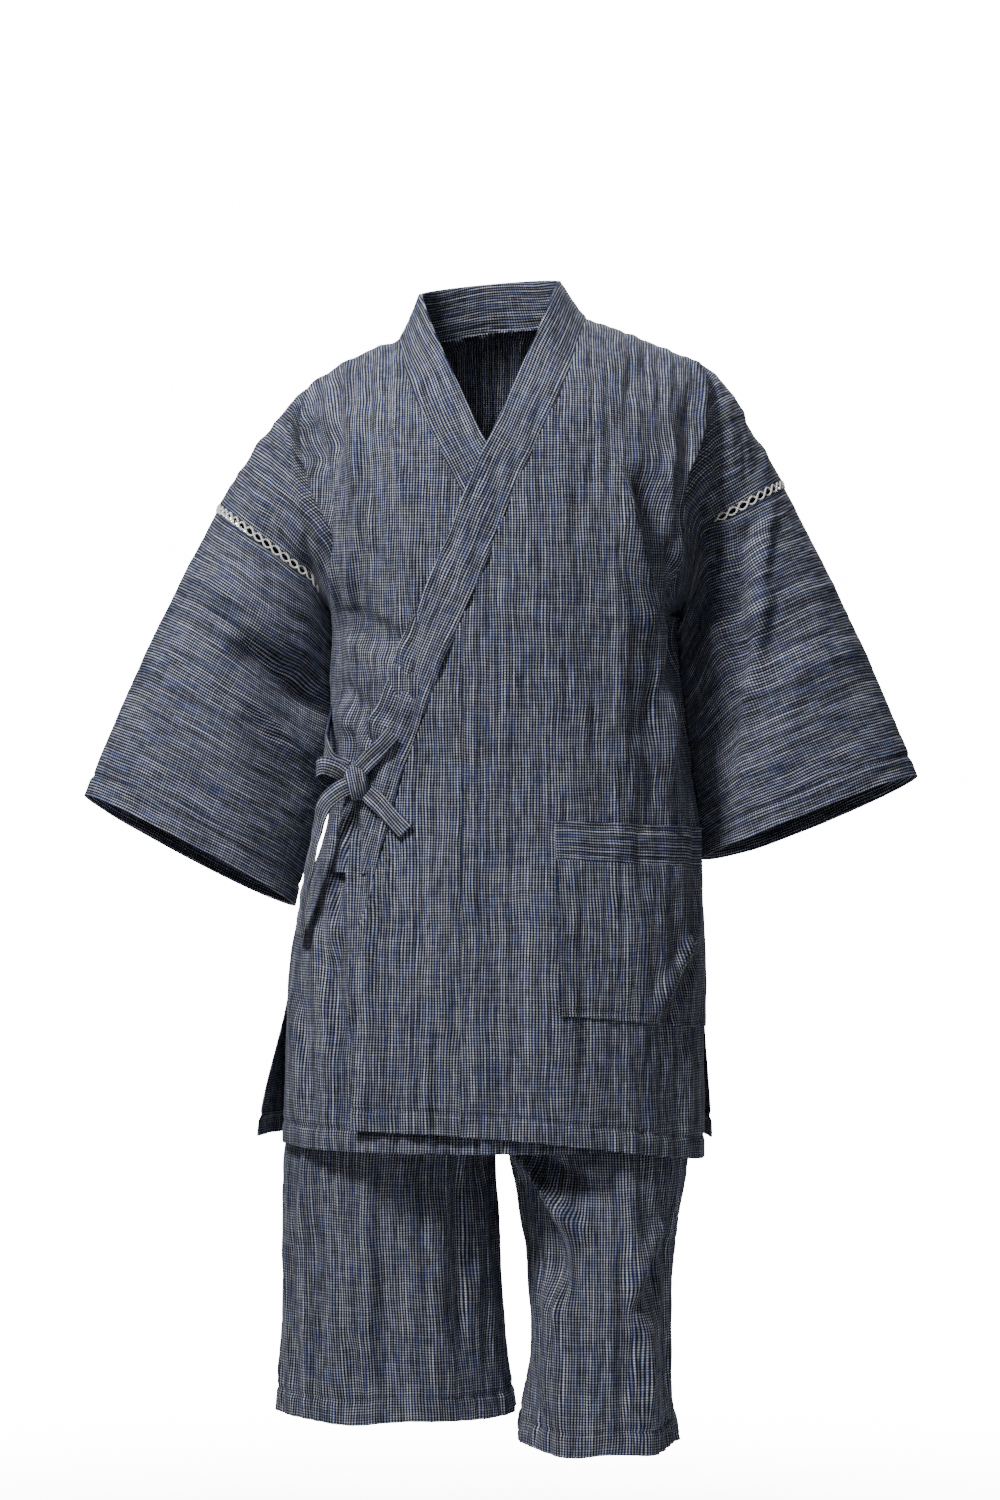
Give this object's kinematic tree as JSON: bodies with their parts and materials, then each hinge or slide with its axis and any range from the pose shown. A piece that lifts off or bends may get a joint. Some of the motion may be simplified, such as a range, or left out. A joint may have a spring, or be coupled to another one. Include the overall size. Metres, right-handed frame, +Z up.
{
  "type": "jinbei jacket and shorts set",
  "caption": "Worn summer jinbei set: wrap jacket with open laced sleeves, patch pocket and a tied bow at the right waist, over knee shorts; hollow, with no wearer.",
  "frame": {"origin": "where the wearer's shoulders hold the set up: the middle of the shoulder line, at the base of the neck", "axes": "+Z up, +X to the wearer's left, the front of the garment faces -Y"},
  "size_m": [0.7802, 0.277, 1.0843],
  "materials": {
    "body_right": "indigo and white yarn-dyed cotton, matt",
    "body_left": "indigo and white yarn-dyed cotton, matt",
    "overlap_right": "indigo and white yarn-dyed cotton, matt",
    "overlap_left": "indigo and white yarn-dyed cotton, matt",
    "collar": "indigo and white yarn-dyed cotton, matt",
    "sleeve_right": "indigo and white yarn-dyed cotton, matt",
    "sleeve_left": "indigo and white yarn-dyed cotton, matt",
    "lacing_right_outer": "off-white cotton thread",
    "lacing_right_inner": "off-white cotton thread",
    "lacing_left_outer": "off-white cotton thread",
    "lacing_left_inner": "off-white cotton thread",
    "slit_thread_right": "off-white cotton thread",
    "slit_thread_left": "off-white cotton thread",
    "pocket_bag": "indigo and white yarn-dyed cotton, matt",
    "pocket_band": "indigo and white yarn-dyed cotton, grain turned across",
    "bow_knot": "indigo and white yarn-dyed cotton, matt",
    "bow_loop": "indigo and white yarn-dyed cotton, matt",
    "bow_end_upper": "indigo and white yarn-dyed cotton, matt",
    "bow_end_lower": "indigo and white yarn-dyed cotton, matt",
    "bow_tail": "indigo and white yarn-dyed cotton, matt",
    "tie_side": "indigo and white yarn-dyed cotton, matt",
    "leg_right": "indigo and white yarn-dyed cotton, matt",
    "leg_left": "indigo and white yarn-dyed cotton, matt",
    "waistband": "dark elastic band in cotton casing"
  },
  "bodies": {
    "root": {"body_right": "body_right", "body_left": "body_left", "overlap_right": "overlap_right", "overlap_left": "overlap_left", "collar": "collar", "sleeve_right": "sleeve_right", "sleeve_left": "sleeve_left", "lacing_right_outer": "lacing_right_outer", "lacing_right_inner": "lacing_right_inner", "lacing_left_outer": "lacing_left_outer", "lacing_left_inner": "lacing_left_inner", "slit_thread_right": "slit_thread_right", "slit_thread_left": "slit_thread_left", "pocket_bag": "pocket_bag", "pocket_band": "pocket_band", "bow_knot": "bow_knot", "bow_loop": "bow_loop", "bow_end_upper": "bow_end_upper", "bow_end_lower": "bow_end_lower", "bow_tail": "bow_tail", "tie_side": "tie_side", "leg_right": "leg_right", "leg_left": "leg_left", "waistband": "waistband"}
  },
  "joints": []
}
